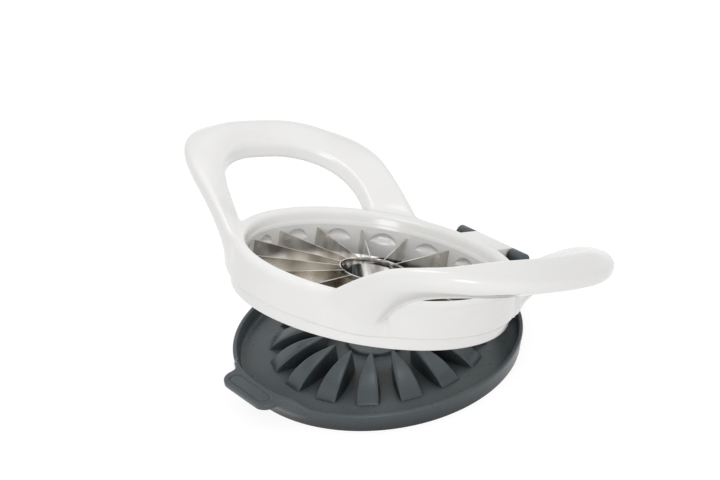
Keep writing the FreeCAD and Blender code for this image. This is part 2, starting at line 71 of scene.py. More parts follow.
Socket = bpy.types.NodeSocket
Tree = bpy.types.NodeTree
Wire = tuple[Node, str | int, Node, str | int]


class Body(Enum):
    """The two moving bodies of the frame."""

    BASE = "base"
    HEAD = "head"


class Slot(Enum):
    """Material slots of the record."""

    WHITE = "white_plastic"
    GREY = "grey_plastic"
    BLADE = "blade_steel"
    CORE = "core_steel"
    PIN = "pin_steel"


def smooth_max(a: Points, b: Points, blend: float) -> Points:
    """Join two distance fields by their larger value, with the corner rounded over a blend width."""
    near = np.maximum(blend - np.abs(a - b), 0.0)
    return np.maximum(a, b) + near * near / (4.0 * blend)


def smooth_min(a: Points, b: Points, blend: float) -> Points:
    """Join two distance fields by their smaller value, with a filleted corner."""
    return -smooth_max(-a, -b, blend)


def ease(amount: Points) -> Points:
    """Ease a share from 0 to 1 with level ends."""
    share = np.clip(amount, 0.0, 1.0)
    return share * share * (3.0 - 2.0 * share)


def fade(value: Points, zone: Pair) -> Points:
    """Ease from 0 at a zone's start to 1 at its end, where a zone is a start and a signed length."""
    return ease((value - zone[0]) / zone[1])


def swing_of_head() -> Matrix:
    """Work out the head's pose at rest from the hinge in the frame.

    Returns:
        The matrix that takes level head millimetres to row metres.
    """
    hinge = frame["joints"][0]
    pivot = Vector(hinge["pos_m"])
    tilt = math.radians(hinge["range_deg"][0])
    lift = Vector((0.0, 0.0, HEAD_LIFT * MM))
    swing = Matrix.Rotation(tilt, 4, "X")
    level = Matrix.Translation(lift - pivot) @ Matrix.Scale(MM, 4)
    return Matrix.Translation(pivot) @ swing @ level


def add_node(tree: Tree, kind: str, values: dict | None = None, **settings: str | int) -> Node:
    """Add a node with its own settings and its input values.

    Args:
        tree: The tree to add to.
        kind: The node's type.
        values: Input values by name or number.
        **settings: The node's own settings by name.
    Returns:
        The node.
    """
    node = tree.nodes.new(kind)
    for name, setting in settings.items():
        setattr(node, name, setting)
    for name, value in (values or {}).items():
        node.inputs[name].default_value = value
    return node


def join(tree: Tree, *wires: Wire) -> None:
    """Link nodes, given the source, its output, the target and its input of each wire."""
    for source, leaves, target, enters in wires:
        tree.links.new(source.outputs[leaves], target.inputs[enters])


def bare_tree(holder: Material | bpy.types.World) -> Tree:
    """Give a material or a world an empty node tree."""
    holder.use_nodes = True
    holder.node_tree.nodes.clear()
    return holder.node_tree


def new_material(name: str, values: dict) -> tuple[Material, Node]:
    """Add a material that holds one Principled shader.

    Args:
        name: The material's name.
        values: Input values of the shader by name.
    Returns:
        The material and its shader.
    """
    material = bpy.data.materials.new(name)
    tree = bare_tree(material)
    shader = add_node(tree, "ShaderNodeBsdfPrincipled", values)
    join(tree, (shader, "BSDF", add_node(tree, "ShaderNodeOutputMaterial"), "Surface"))
    return material, shader


def noise(tree: Tree, place: Socket, scale: float, detail: float) -> Node:
    """Add a noise pattern that sits on the piece.

    Args:
        tree: The material's tree.
        place: Where each point of the piece lies in the pattern.
        scale: Lumps per unit of place.
        detail: Octaves of detail.
    Returns:
        The noise node.
    """
    pattern = add_node(tree, "ShaderNodeTexNoise", {"Scale": scale, "Detail": detail})
    tree.links.new(place, pattern.inputs["Vector"])
    return pattern


def ramp_of(tree: Tree, pattern: Node, ends: Pair, dark: Colour, light: Colour) -> Socket:
    """Colour a pattern from dark to light.

    Args:
        tree: The material's tree.
        pattern: The node whose factor is coloured.
        ends: Factors at which the dark and the light colour are full.
        dark: Colour of the low end.
        light: Colour of the high end.
    Returns:
        The colour.
    """
    ramp = add_node(tree, "ShaderNodeValToRGB")
    for element, position, shade in zip(ramp.color_ramp.elements, ends, (dark, light)):
        element.position = position
        element.color = (*shade, 1.0)
    join(tree, (pattern, "Fac", ramp, "Fac"))
    return ramp.outputs["Color"]


def vary_roughness(tree: Tree, shader: Node, pattern: Node, limits: Pair) -> None:
    """Let a pattern move a shader's roughness between its smoothest and roughest limit."""
    spread = add_node(tree, "ShaderNodeMapRange", {"To Min": limits[0], "To Max": limits[1]})
    join(tree, (pattern, "Fac", spread, "Value"), (spread, "Result", shader, "Roughness"))


def relief(tree: Tree, shader: Node, pattern: Node, depth: float) -> None:
    """Lay a pattern over a shader as a fine surface grain of some depth in metres."""
    bump = add_node(tree, "ShaderNodeBump", {"Strength": BUMP_STRENGTH, "Distance": depth})
    join(tree, (pattern, "Fac", bump, "Height"), (bump, "Normal", shader, "Normal"))


@dataclass(frozen=True)
class MouldedPlastic:
    """A moulded plastic with faint mottling, a fine moulded grain and painted shade in its crevices."""

    name: str
    shade: Colour
    mottle: float
    roughness: Pair
    grain_depth: float
    coat: float
    sheen: float
    # Strength of the painted crevice shade, the darkening of the colour in narrow places; 0 paints none.
    painted_crevice_shade: float
    mottle_ends: Pair = (0.3, 0.7)
    mottle_scale: float = 60.0
    gloss_scale: float = 350.0
    grain_scale: float = 1400.0
    coat_roughness: float = 0.18
    # Reach, occlusion range and samples of the painted crevice shade.
    painted_shade_reach: float = 0.012
    painted_shade_ends: Pair = (0.35, 0.95)
    painted_shade_samples: int = 32

    def make(self) -> Material:
        """Build the material.

        Returns:
            The material.
        """
        gloss = {"Coat Weight": self.coat, "Coat Roughness": self.coat_roughness,
                 "Specular IOR Level": self.sheen}
        material, shader = new_material(self.name, gloss)
        tree = material.node_tree
        place = add_node(tree, "ShaderNodeTexCoord").outputs["Object"]
        dark = tuple(part * (1.0 - self.mottle) for part in self.shade)
        cloud = noise(tree, place, self.mottle_scale, 4.0)
        colour = ramp_of(tree, cloud, self.mottle_ends, dark, self.shade)
        tree.links.new(self.paint_crevice_shade(tree, colour), shader.inputs["Base Color"])
        vary_roughness(tree, shader, noise(tree, place, self.gloss_scale, 3.0), self.roughness)
        relief(tree, shader, noise(tree, place, self.grain_scale, 2.0), self.grain_depth)
        return material

    def paint_crevice_shade(self, tree: Tree, colour: Socket) -> Socket:
        """Paint shade into a colour where the piece is closed in: ambient occlusion darkens it in narrow
        places.

        Args:
            tree: The material's tree.
            colour: The plain colour.
        Returns:
            The colour to use.
        """
        if self.painted_crevice_shade <= 0.0:
            return colour
        closed, free = self.painted_shade_ends
        # Painted shade: ambient occlusion darkens the base colour in crevices and next to nearby parts.
        occlusion_shade = add_node(tree, "ShaderNodeAmbientOcclusion", {"Distance": self.painted_shade_reach},
                        samples=self.painted_shade_samples)
        span = add_node(tree, "ShaderNodeMapRange",
                        {"From Min": closed, "From Max": free, "To Min": 1.0 - self.painted_crevice_shade})
        scale = add_node(tree, "ShaderNodeVectorMath", operation="SCALE")
        tree.links.new(colour, scale.inputs[0])
        join(tree, (occlusion_shade, "AO", span, "Value"), (span, "Result", scale, "Scale"))
        return scale.outputs["Vector"]


@dataclass(frozen=True)
class BrushedSteel:
    """Polished steel with fine streaks drawn along one direction, over a painted reflection that clouds its
    colour from dark to light.
    """

    name: str
    # shade and dark are the light and the dark end of the painted reflection.
    shade: Colour
    dark: Colour
    roughness: Pair
    stretch: tuple[float, float, float]
    painted_reflection_lumps: tuple[float, float, float]
    painted_reflection_ends: Pair = (0.36, 0.62)
    streak_scale: float = 900.0
    streak_depth: float = 0.00001

    def make(self) -> Material:
        """Build the material.

        Returns:
            The material.
        """
        material, shader = new_material(self.name, {"Metallic": 1.0})
        tree = material.node_tree
        place = add_node(tree, "ShaderNodeTexCoord")
        along = add_node(tree, "ShaderNodeMapping", {"Scale": self.stretch})
        spots = add_node(tree, "ShaderNodeMapping", {"Scale": self.painted_reflection_lumps})
        join(tree, (place, "Object", along, "Vector"), (place, "Object", spots, "Vector"))
        # Painted reflection: the colour clouds from dark to light as reflections of dark and bright
        # surroundings would.
        cloud = noise(tree, spots.outputs["Vector"], 1.0, 3.0)
        colour = ramp_of(tree, cloud, self.painted_reflection_ends, self.dark, self.shade)
        tree.links.new(colour, shader.inputs["Base Color"])
        streak = noise(tree, along.outputs["Vector"], self.streak_scale, 3.0)
        vary_roughness(tree, shader, streak, self.roughness)
        relief(tree, shader, streak, self.streak_depth)
        return material


# Of the plastics only the grey gets painted crevice shade; the white gets none.
WHITE_PLASTIC = MouldedPlastic("white_plastic", shade=(0.92, 0.92, 0.91), mottle=0.025, coat=0.25,
                               roughness=(0.17, 0.25), grain_depth=0.00003, sheen=0.5, painted_crevice_shade=0.0)
GREY_PLASTIC = MouldedPlastic("grey_plastic", shade=(0.092, 0.112, 0.12), mottle=0.12, coat=0.0,
                              roughness=(0.24, 0.34), grain_depth=0.00005, sheen=0.3, painted_crevice_shade=0.8)
# Each steel's dark-to-light colour cloud is a painted reflection.
BLADE_STEEL = BrushedSteel("blade_steel", shade=(0.8, 0.77, 0.72), dark=(0.3, 0.275, 0.235),
                           roughness=(0.1, 0.24), stretch=(0.3, 0.3, 4.0), painted_reflection_lumps=(60.0, 60.0, 45.0))
CORE_STEEL = BrushedSteel("core_steel", shade=(0.84, 0.82, 0.79), dark=(0.16, 0.15, 0.14),
                          roughness=(0.06, 0.16), stretch=(3.0, 3.0, 0.15), painted_reflection_lumps=(170.0, 170.0, 14.0))
PIN_STEEL = BrushedSteel("pin_steel", shade=(0.6, 0.6, 0.6), dark=(0.45, 0.45, 0.45),
                         roughness=(0.2, 0.35), stretch=(0.2, 3.0, 3.0), painted_reflection_lumps=(200.0, 200.0, 200.0))


def mesh_of(name: str, points: Sequence, faces: Sequence, crease: float = CREASE_FROM) -> Mesh:
    """Make a mesh with merged doubles, outward faces and smooth shading up to a crease angle.

    Args:
        name: The mesh's name.
        points: Corner points.
        faces: Corner numbers of each face.
        crease: Angle in degrees from which an edge stays sharp.
    Returns:
        The mesh.
    """
    mesh = bpy.data.meshes.new(name)
    corners = [tuple(map(float, point)) for point in points]
    mesh.from_pydata(corners, [], [tuple(map(int, face)) for face in faces])
    clean(mesh, crease)
    return mesh


def clean(mesh: Mesh, crease: float) -> None:
    """Merge doubles, turn faces outwards and shade smooth up to a crease angle.

    Args:
        mesh: The mesh to clean.
        crease: Angle in degrees from which an edge stays sharp.
    """
    work = bmesh.new()
    work.from_mesh(mesh)
    bmesh.ops.remove_doubles(work, verts=work.verts, dist=MERGE_BELOW)
    bmesh.ops.dissolve_degenerate(work, edges=work.edges, dist=SLIVER_BELOW)
    bmesh.ops.recalc_face_normals(work, faces=work.faces)
    work.to_mesh(mesh)
    work.free()
    mesh.shade_smooth()
    mesh.set_sharp_from_angle(angle=math.radians(crease))


def stand(name: str, data: bpy.types.ID) -> Piece:
    """Make an object of some data and link it to the scene."""
    thing = bpy.data.objects.new(name, data)
    bpy.context.scene.collection.objects.link(thing)
    return thing


def piece_of(name: str, mesh: Mesh, finish: Material, body: Body,
             stands_for: Sequence[str] = ()) -> Piece:
    """Set a finished mesh in its place, dress it and let it ride on its body.

    Args:
        name: The piece's name.
        mesh: The piece's mesh in the millimetres of its body.
        finish: The material.
        body: The body that carries the piece.
        stands_for: Nodes that the piece replaces.
    Returns:
        The piece.
    """
    mesh.name = name
    mesh.transform(swing_of_head() if body is Body.HEAD else Matrix.Scale(MM, 4))
    mesh.materials.clear()
    mesh.materials.append(finish)
    piece = stand(name, mesh)
    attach(piece, body.value)
    if stands_for:
        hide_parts(*stands_for)
    LOG.info("%s: %d faces on %s", name, len(mesh.polygons), body.value)
    return piece


def strip_faces(rows: int, size: int, first: int = 0) -> list[tuple[int, int, int, int]]:
    """List the faces between neighbouring closed rows of points.

    Args:
        rows: Number of rows.
        size: Points in each row.
        first: Number of the first point.
    Returns:
        Corner numbers of each face.
    """
    faces = []
    for start in range(first, first + (rows - 1) * size, size):
        for index in range(size):
            here = start + index
            beside = start + (index + 1) % size
            faces.append((here, here + size, beside + size, beside))
    return faces


def turned(profile: Sequence[Pair], count: int) -> tuple[list, list]:
    """Turn a closed (radius, height) outline about the upright axis.

    Args:
        profile: The outline's corners, which stay clear of the axis.
        count: Steps around.
    Returns:
        Points, of which the last row lies on the first, and faces.
    """
    points = []
    for turn in np.linspace(0.0, 2.0 * np.pi, count + 1):
        points += [(radius * math.cos(turn), radius * math.sin(turn), height) for radius, height in profile]
    return points, strip_faces(count + 1, len(profile))


def extruded(outline: Sequence[Pair], low: float, high: float, axis: int) -> tuple[list, list]:
    """Extrude a flat outline along X (axis 0) or Z (axis 2).

    Args:
        outline: Corners in the plane across the axis.
        low: Start along the axis.
        high: End along the axis.
        axis: Which axis.
    Returns:
        Points and faces.
    """
    points = []
    for level in (low, high):
        for first, second in outline:
            points.append((level, first, second) if axis == 0 else (first, second, level))
    size = len(outline)
    faces = [tuple(range(size))[::-1], tuple(range(size, 2 * size))]
    for index in range(size):
        following = (index + 1) % size
        faces.append((index, following, size + following, size + index))
    return points, faces


def bevelled(mesh: Mesh, width: float) -> Mesh:
    """Round a mesh's sharp edges.

    Args:
        mesh: The mesh, changed in place.
        width: Width of the rounding.
    Returns:
        The same mesh.
    """
    work = bmesh.new()
    work.from_mesh(mesh)
    sharp = [edge for edge in work.edges if edge.calc_face_angle(0.0) > math.radians(BEVEL_FROM)]
    bmesh.ops.bevel(work, geom=sharp, offset=width, segments=3, profile=0.5, affect="EDGES")
    work.to_mesh(mesh)
    work.free()
    clean(mesh, CREASE_FROM)
    return mesh


@dataclass
class SurfaceNet:
    """Meshes the zero level of a distance field, negative inside, on a regular grid."""

    field: Field
    low: Place
    high: Place
    step: float
    rounds: int = 3
    probe: float = 0.02
    least_slope: float = 0.2
    longest_move: float = 0.4

    def sample(self) -> Points:
        """Evaluate the field at every grid point.

        Returns:
            The values.
        """
        axes = []
        for low, high in zip(self.low, self.high):
            count = math.ceil((high - low) / self.step) + 1
            axes.append(low + self.step * np.arange(count))
        return self.field(*np.meshgrid(*axes, indexing="ij"))

    def build(self) -> tuple[Points, Points]:
        """Mesh the surface with one point per crossed cell, eased onto the field.

        Returns:
            Points and four-cornered faces.
        """
        values = self.sample()
        cells = tuple(count - 1 for count in values.shape)
        total = np.zeros((*cells, 3))
        hits = np.zeros(cells)
        for axis in range(3):
            self.gather(values, axis, cells, total, hits)
        active = hits > 0
        number = np.full(cells, -1)
        number[active] = np.arange(int(active.sum()))
        where = np.argwhere(active)
        points = np.array(self.low) + self.step * (where + total[active] / hits[active][:, None])
        faces = np.concatenate([self.faces(values < 0, number, axis) for axis in range(3)])
        for _ in range(self.rounds):
            points = self.project(self.relax(points, faces))
        return self.project(self.project(points)), faces

    def gather(self, values: Points, axis: int, cells: tuple, total: Points, hits: Points) -> None:
        """Add the crossings of the four cell edges along one axis to each cell.

        Args:
            values: Field at the grid points.
            axis: Direction of the edges.
            cells: Cell counts.
            total: Sum of crossing places, added to.
            hits: Number of crossings, added to.
        """
        for first in (0, 1):
            for second in (0, 1):
                corner = [first, second]
                corner.insert(axis, 0)
                start = values[tuple(slice(c, c + n) for c, n in zip(corner, cells))]
                corner[axis] = 1
                end = values[tuple(slice(c, c + n) for c, n in zip(corner, cells))]
                crossed = (start < 0) != (end < 0)
                share = np.where(crossed, start / np.where(crossed, start - end, 1.0), 0.0)
                for part in range(3):
                    total[..., part] += share if part == axis else crossed * corner[part]
                hits += crossed

    @staticmethod
    def faces(inside: Points, number: Points, axis: int) -> Points:
        """List the faces across the grid edges of one axis.

        Args:
            inside: Which grid points lie inside.
            number: Point number of each cell.
            axis: Direction of the edges.
        Returns:
            Corner numbers, outward.
        """
        others = [other for other in range(3) if other != axis]
        core = [slice(1, -1)] * 3
        core[axis] = slice(0, -1)
        ahead = list(core)
        ahead[axis] = slice(1, None)
        start = inside[tuple(core)]
        end = inside[tuple(ahead)]
        found = []
        for leaving in (True, False):
            edge = np.argwhere((start != end) & (start == leaving))
            edge[:, others] += 1
            ring = []
            for back_a, back_b in ((1, 1), (0, 1), (0, 0), (1, 0)):
                cell = edge.copy()
                cell[:, others[0]] -= back_a
                cell[:, others[1]] -= back_b
                ring.append(number[tuple(cell.T)])
            quad = np.stack(ring, axis=1)
            forward = leaving != (axis == 1)
            found.append(quad if forward else quad[:, ::-1])
        return np.concatenate(found)

    @staticmethod
    def relax(points: Points, faces: Points) -> Points:
        """Move every point half way to the middle of its neighbours.

        Args:
            points: The points.
            faces: Corner numbers of each face.
        Returns:
            The moved points.
        """
        total = np.zeros_like(points)
        count = np.zeros(len(points))
        for corner in range(4):
            near = faces[:, (corner + 1) % 4]
            for part in range(3):
                total[:, part] += np.bincount(faces[:, corner], points[near, part], len(points))
            count += np.bincount(faces[:, corner], minlength=len(points))
        return 0.5 * points + 0.5 * total / np.maximum(count, 1.0)[:, None]

    def project(self, points: Points) -> Points:
        """Move every point along the slope onto the zero level.

        Args:
            points: The points.
        Returns:
            The moved points.
        """
        height = self.field(*points.T)
        slope = np.empty_like(points)
        for part in range(3):
            nudge = np.zeros(3)
            nudge[part] = self.probe
            ahead = self.field(*(points + nudge).T)
            behind = self.field(*(points - nudge).T)
            slope[:, part] = (ahead - behind) / (2.0 * self.probe)
        steep = np.maximum((slope * slope).sum(axis=1), self.least_slope)
        move = np.clip(height / steep, -self.longest_move, self.longest_move)
        return points - slope * move[:, None]


@dataclass
class FrameShell:
    """White moulding of the head: ring with a rolled rim and two looped handles."""

    wall_foot: float = 56.9
    wall_draft: float = 0.2
    top: float = 18.9
    bottom: float = 4.8
    throat: float = 50.26
    throat_height: float = 12.2
    lip: float = 51.7
    lip_height: float = 17.6
    pocket_radius: float = 53.25
    flare_centre: Pair = (103.5, -13.7)
    flare_radius: float = 54.6
    half_thickness: float = 2.6
    outline: tuple[float, float, float, float] = (97.8, 48.5, 118.0, 6.5)
    loop: tuple[float, float, float, float] = (80.2, 34.4, 90.0, 3.0)
    leg_crown: float = 1.8
    grip_crown: float = 4.9
    belly_depth: float = 2.6
    grip_zone: Pair = (68.0, 20.0)
    grip_thinning: float = 0.6
    crown_zone: Pair = (60.0, 16.0)
    belly_zone: Pair = (97.0, -14.0)
    rim_round: float = 3.8
    lip_round: float = 2.6
    foot_round: float = 1.0
    sheet_round: float = 1.0
    edge_round: float = 2.6
    loop_round: float = 1.2
    cut_round: float = 0.4
    root: float = 56.2
    root_round: float = 0.5
    root_fillet: Pair = (2.0, 4.6)
    fillet_zone: Pair = (18.0, -12.0)
    pocket_rise: float = 0.4
    net_box: tuple[Place, Place] = ((-99.0, -58.4, 3.7), (99.0, 58.4, 49.4))
    grid: float = 0.66
    crease: float = 80.0

    @staticmethod
    def handle_plan(x: Points, y: Points, sizes: tuple[float, float, float, float]) -> Points:
        """Measure the distance to a D outline seen from above.

        Args:
            x: Distance out along the handle.
            y: Distance across the handle.
            sizes: Reach, half width, grip radius and half length of the grip's flat part.
        Returns:
            The distance, negative inside.
        """
        reach, half, grip, flat = sizes
        corner = half - flat
        grip_x = reach - grip
        corner_x = grip_x + math.sqrt((grip - corner) ** 2 - flat ** 2)
        side = np.abs(y)
        leg = side - half
        bend = np.hypot(x - corner_x, side - flat) - corner
        nose = np.hypot(x - grip_x, side) - grip
        at_nose = (x - grip_x) * flat > side * (corner_x - grip_x)
        return np.where(at_nose, nose, np.where(x > corner_x, bend, leg))

    def ring(self, radius: Points, z: Points) -> Points:
        """Measure the distance to the ring's rolled section.

        Args:
            radius: Distance from the upright axis.
            z: Height.
        Returns:
            The distance, negative inside.
        """
        outer = radius - self.wall_foot - self.wall_draft * (z - self.bottom) / self.top
        rise = self.lip_height - self.throat_height
        run = self.lip - self.throat
        length = math.hypot(rise, run)
        funnel = ((z - self.throat_height) * run - (radius - self.throat) * rise) / length
        body = smooth_max(outer, z - self.top, self.rim_round)
        body = smooth_max(body, funnel, self.lip_round)
        body = smooth_max(body, self.bottom - z, self.foot_round)
        pocket = np.maximum(radius - self.pocket_radius, z - self.throat_height - self.pocket_rise)
        return smooth_max(body, -pocket, self.cut_round)

    def handles(self, x: Points, y: Points, radius: Points, z: Points) -> Points:
        """Measure the distance to the two handles.

        Each handle is a flared sheet cut to a D outline and a loop. The crest of its crown lies towards
        the loop on the grip and midway on the legs.

        Args:
            x: Distance along the handles.
            y: Distance across them.
            radius: Distance from the upright axis.
            z: Height.
        Returns:
            The distance, negative inside.
        """
        out = np.abs(x)
        flare = np.hypot(radius - self.flare_centre[0], z - self.flare_centre[1]) - self.flare_radius
        plan = self.handle_plan(out, y, self.outline)
        loop = self.handle_plan(out, y, self.loop)
        # Share of the way from the outline to the loop, and two humps over it that reach 1 at their crest.
        across = np.clip(-plan, 0.0, None) / (np.clip(-plan, 0.0, None) + np.clip(loop, 0.0, None) + 0.01)
        belly = 4.0 * across * (1.0 - across)
        crest = 6.75 * across * across * (1.0 - across)
        grip = fade(out, self.grip_zone)
        crown = self.leg_crown * belly * (1.0 - self.grip_thinning * grip) + self.grip_crown * crest * grip
        crown *= fade(radius, self.crown_zone)
        upper = flare - self.half_thickness - crown
        under = -flare - self.half_thickness - self.belly_depth * fade(out, self.belly_zone) * belly
        sheet = smooth_max(upper, under, self.sheet_round)
        solid = smooth_max(sheet, plan, self.edge_round)
        solid = smooth_max(solid, -loop, self.loop_round)
        return smooth_max(solid, self.root - radius, self.root_round)

    def field(self, x: Points, y: Points, z: Points) -> Points:
        """Measure the distance to the whole moulding.

        Args:
            x: Distance along the handles.
            y: Distance across them.
            z: Height.
        Returns:
            The distance, negative inside.
        """
        radius = np.hypot(x, y)
        high, low = self.root_fillet
        fillet = high + (low - high) * fade(z, self.fillet_zone)
        joined = smooth_min(self.ring(radius, z), self.handles(x, y, radius, z), fillet)
        return smooth_max(joined, self.bottom - z, self.cut_round)

    def build(self, finish: Material) -> Piece:
        """Mesh and dress the moulding."""
        net = SurfaceNet(self.field, *self.net_box, self.grid)
        mesh = mesh_of("frame_shell", *net.build(), self.crease)
        return piece_of("frame_shell", mesh, finish, Body.HEAD, ["slicer_frame"])


class RadialRepeat:
    """Geometry Nodes tree that repeats one shape round the upright axis."""

    def __init__(self) -> None:
        """Build the tree."""
        tree = bpy.data.node_groups.new("repeat_round", "GeometryNodeTree")
        self.tree = tree
        self.add_socket("Shape", "Geometry")
        self.copies = self.add_socket("Copies", "Int")
        self.weld = self.add_socket("Weld distance", "Float")
        self.finish = self.add_socket("Finish", "Material")
        self.add_socket("Shape", "Geometry", "OUTPUT")
        start = add_node(tree, "NodeGroupInput")
        spots = add_node(tree, "GeometryNodePoints")
        index = add_node(tree, "GeometryNodeInputIndex")
        pitch = add_node(tree, "ShaderNodeMath", {0: 2.0 * math.pi}, operation="DIVIDE")
        angle = add_node(tree, "ShaderNodeMath", operation="MULTIPLY")
        turn = add_node(tree, "ShaderNodeCombineXYZ")
        place = add_node(tree, "GeometryNodeInstanceOnPoints")
        real = add_node(tree, "GeometryNodeRealizeInstances")
        weld = add_node(tree, "GeometryNodeMergeByDistance")
        dress = add_node(tree, "GeometryNodeSetMaterial")
        end = add_node(tree, "NodeGroupOutput")
        join(tree, (start, "Copies", spots, "Count"), (start, "Copies", pitch, 1),
             (index, "Index", angle, 0), (pitch, "Value", angle, 1), (angle, "Value", turn, "Z"),
             (spots, "Points", place, "Points"), (start, "Shape", place, "Instance"),
             (turn, "Vector", place, "Rotation"), (place, "Instances", real, "Geometry"),
             (real, "Geometry", weld, "Geometry"), (start, "Weld distance", weld, "Distance"),
             (weld, "Geometry", dress, "Geometry"), (start, "Finish", dress, "Material"),
             (dress, "Geometry", end, "Shape"))

    def add_socket(self, name: str, kind: str, side: str = "INPUT") -> str:
        """Add a socket to the tree's face and give its identifier."""
        socket = self.tree.interface.new_socket(name, in_out=side, socket_type=f"NodeSocket{kind}")
        return socket.identifier

    def spread(self, shape: Mesh, copies: int, weld: float, finish: Material, crease: float) -> Mesh:
        """Repeat a shape and bring the result back as a plain mesh.

        Args:
            shape: The one shape, in millimetres.
            copies: How many go round.
            weld: Distance below which points merge.
            finish: The material.
            crease: Angle in degrees from which an edge stays sharp.
        Returns:
            The plain mesh.
        """
        holder = stand("repeat_holder", shape)
        modifier = holder.modifiers.new("repeat_round", "NODES")
        modifier.node_group = self.tree
        modifier[self.copies] = copies
        modifier[self.weld] = weld
        modifier[self.finish] = finish
        graph = bpy.context.evaluated_depsgraph_get()
        graph.update()
        made = bpy.data.meshes.new_from_object(holder.evaluated_get(graph))
        bpy.data.objects.remove(holder)
        bpy.data.meshes.remove(shape)
        clean(made, crease)
        return made


@dataclass
class MouthLiner:
    """White inner wall of the mouth, with an arched pocket between each pair of blades."""

    copies: int = 16
    throat: float = 50.26
    low: float = 4.8
    top: float = 12.2
    arch_height: float = 4.3
    arch_radius: float = 6.2
    ledge: Pair = (6.4, 1.9)
    floor: float = 51.7
    back: float = 53.15
    side_steps: int = 12
    top_steps: int = 40
    lip_width: float = 0.45
    lip_mixes: tuple[float, ...] = (0.0, 0.04, 0.35, 0.7, 1.0)
    scoop: tuple[Pair, ...] = ((0.22, 0.02), (0.06, 0.07), (0.0, 0.16), (-0.05, 0.55),
                               (-0.3, 0.8), (-0.8, 0.95), (-1.5, 1.0))
    floor_mixes: tuple[float, ...] = (0.35, 0.7, 1.0)
    funnel_slope: float = 0.2667
    strip: tuple[Pair, ...] = ((12.35, 0.06), (12.9, 0.06), (13.5, 0.05), (14.2, 0.02), (15.0, -0.35))
    weld: float = 0.002
    crease: float = 50.0

    def edge(self) -> tuple[Points, Points, Points]:
        """List the outline of one sector and the matching arch angles.

        Returns:
            Outline y, outline z and the share of the arch swept.
        """
        half = self.throat * math.sin(math.pi / self.copies)
        rise = np.linspace(self.low, self.top, self.side_steps, endpoint=False)
        across = np.linspace(half, -half, self.top_steps)
        y = np.concatenate([np.full(self.side_steps, half), across, np.full(self.side_steps, -half)])
        z = np.concatenate([rise, np.full(self.top_steps, self.top), rise[::-1]])
        first = math.asin((self.low - self.arch_height) / self.arch_radius)
        corner = math.atan2(self.top - self.arch_height, half)
        sweep = np.concatenate([
            np.linspace(first, corner, self.side_steps, endpoint=False),
            np.linspace(corner, math.pi - corner, self.top_steps),
            np.linspace(first, corner, self.side_steps, endpoint=False)[::-1] * -1.0 + math.pi,
        ])
        return y, z, (sweep - first) / (math.pi - 2.0 * first)

    def arch(self, share: Points, radius: float) -> tuple[Points, Points]:
        """Place points along an arch, from the low edge round to the low edge.

        Args:
            share: Share of the arch swept at each point.
            radius: The arch's radius.
        Returns:
            The y and z of each point.
        """
        first = math.asin((self.low - self.arch_height) / radius)
        sweep = first + share * (math.pi - 2.0 * first)
        return radius * np.cos(sweep), self.arch_height + radius * np.sin(sweep)

    def wall_point(self, y: Points, z: Points, depth: float) -> Points:
        """Give x on the throat wall at depth 0 and on the scooped floor of the pocket at depth 1."""
        surface = np.sqrt(self.throat ** 2 - y ** 2)
        return surface + (self.floor - surface) * depth * fade(z, self.ledge)

    def rows(self) -> list[Points]:
        """List the rows of one sector, from its outline in to the pocket's low edge.

        Returns:
            Rows of points.
        """
        edge_y, edge_z, share = self.edge()
        rows = []
        lip_y, lip_z = self.arch(share, self.arch_radius + self.lip_width)
        for mix in self.lip_mixes:
            y = edge_y + (lip_y - edge_y) * mix
            z = edge_z + (lip_z - edge_z) * mix
            rows.append(np.stack([self.wall_point(y, z, 0.0), y, z], axis=1))
        for offset, depth in self.scoop:
            y, z = self.arch(share, self.arch_radius + offset)
            rows.append(np.stack([self.wall_point(y, z, depth), y, z], axis=1))
        last = rows[-1]
        for mix in self.floor_mixes:
            z = last[:, 2] + (self.low - last[:, 2]) * mix
            rows.append(np.stack([self.wall_point(last[:, 1], z, 1.0), last[:, 1], z], axis=1))
        return rows

    def sector(self) -> Mesh:
        """Mesh one sector, open only where it meets its neighbours.

        Returns:
            The mesh.
        """
        rows = self.rows()
        size = len(rows[0])
        points = [tuple(point) for row in rows for point in row]
        faces = []
        for row in range(len(rows) - 1):
            for index in range(size - 1):
                here = row * size + index
                faces.append((here, here + 1, here + 1 + size, here + size))
        tops = list(range(self.side_steps, self.side_steps + self.top_steps))
        across = np.arcsin(np.clip(rows[0][tops, 1] / self.throat, -1.0, 1.0))
        levels = []
        for height, proud in self.strip:
            levels.append((height, self.throat + self.funnel_slope * (height - self.top) - proud))
        levels += [(self.strip[-1][0], self.back), (self.top - 1.0, self.back), (self.low, self.back)]
        previous = tops
        for height, radius in levels:
            start = len(points)
            points += [(radius * math.cos(turn), radius * math.sin(turn), height) for turn in across]
            current = list(range(start, len(points)))
            for index in range(len(current) - 1):
                faces.append((previous[index], current[index], current[index + 1], previous[index + 1]))
            previous = current
        right = [row * size for row in range(len(rows))]
        chord = list(range((len(rows) - 1) * size + 1, len(rows) * size - 1))
        left = [row * size + size - 1 for row in range(len(rows))][::-1]
        faces.append(tuple(right + chord + left + previous[::-1]))
        mesh = bpy.data.meshes.new("mouth_sector")
        mesh.from_pydata(points, [], faces)
        return mesh

    def build(self, repeat: RadialRepeat, finish: Material) -> Piece:
        """Repeat the sector round the mouth and dress it."""
        mesh = repeat.spread(self.sector(), self.copies, self.weld, finish, self.crease)
        return piece_of("mouth_liner", mesh, finish, Body.HEAD)


